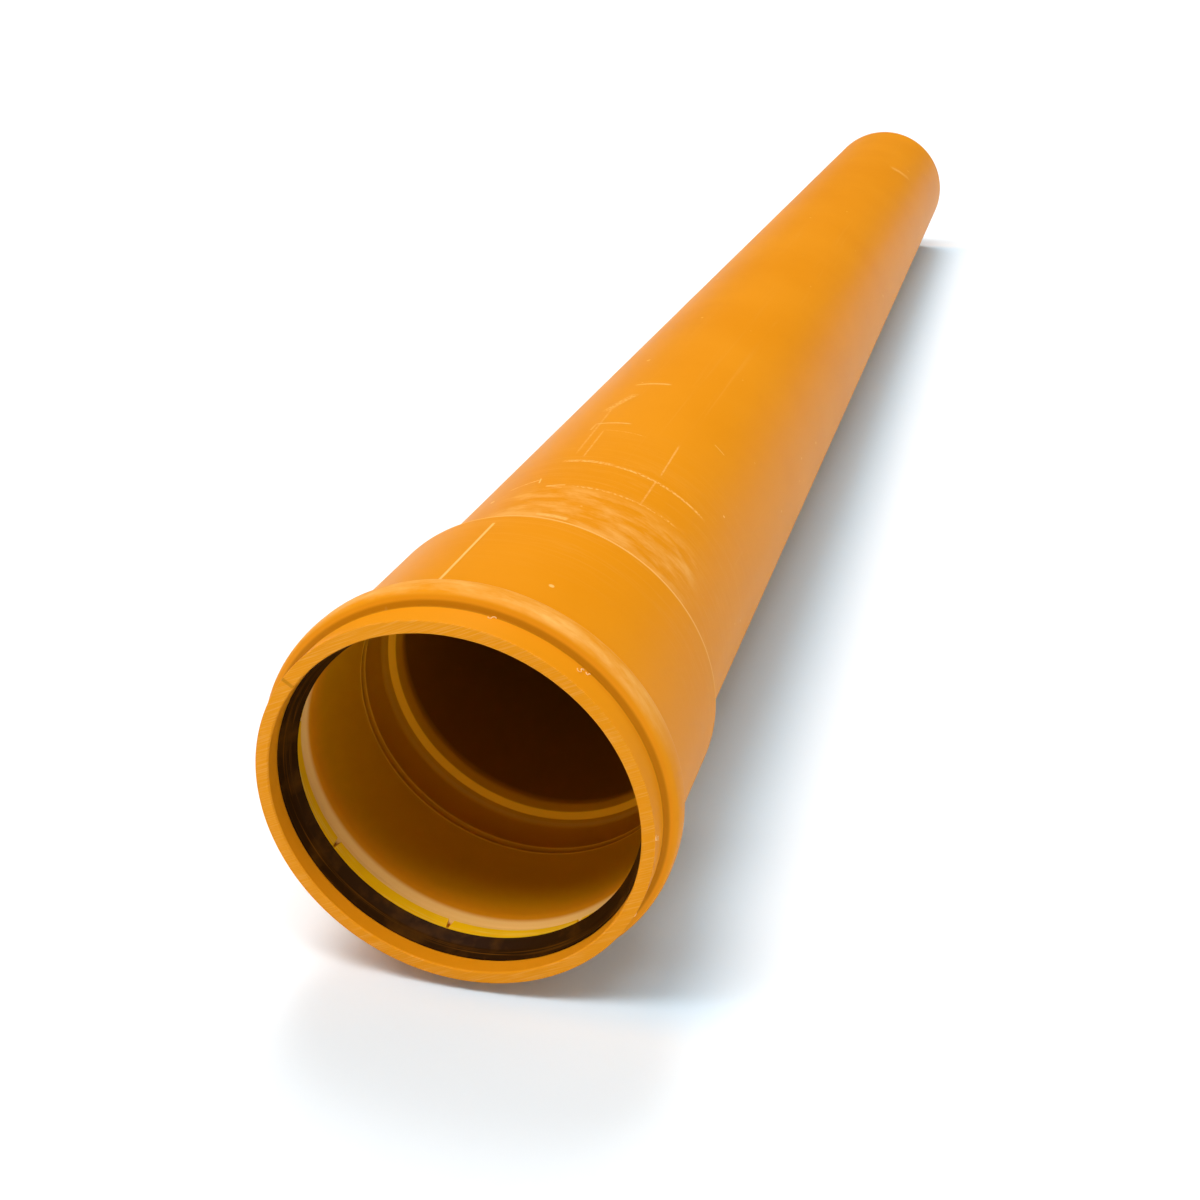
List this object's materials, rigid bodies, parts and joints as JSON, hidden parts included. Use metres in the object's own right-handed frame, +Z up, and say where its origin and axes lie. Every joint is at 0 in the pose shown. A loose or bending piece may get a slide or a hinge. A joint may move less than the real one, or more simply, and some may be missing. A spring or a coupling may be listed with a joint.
{
  "type": "cable protection pipe",
  "caption": "Orange PVC-U pipe with a beaded push-fit socket holding a rubber lip seal, a notched retaining ring behind it, and a chamfered plain spigot end.",
  "frame": {"origin": "under the middle of the pipe's length, level with the lowest point of the socket's bead", "axes": "+Y along the pipe's level axis from the socket's mouth to the spigot end, +Z up, +X to the right when looking into the mouth"},
  "size_m": [0.127, 1.0744, 0.1268],
  "materials": {
    "pvc": "satin extruded PVC-U, orange, with fine handling scratches",
    "seal_rubber": "smooth black rubber",
    "ring_plastic": "smooth yellow polypropylene"
  },
  "bodies": {
    "root": {"pipe": "pvc", "sealing_ring": "seal_rubber", "retaining_ring": "ring_plastic"}
  },
  "joints": []
}
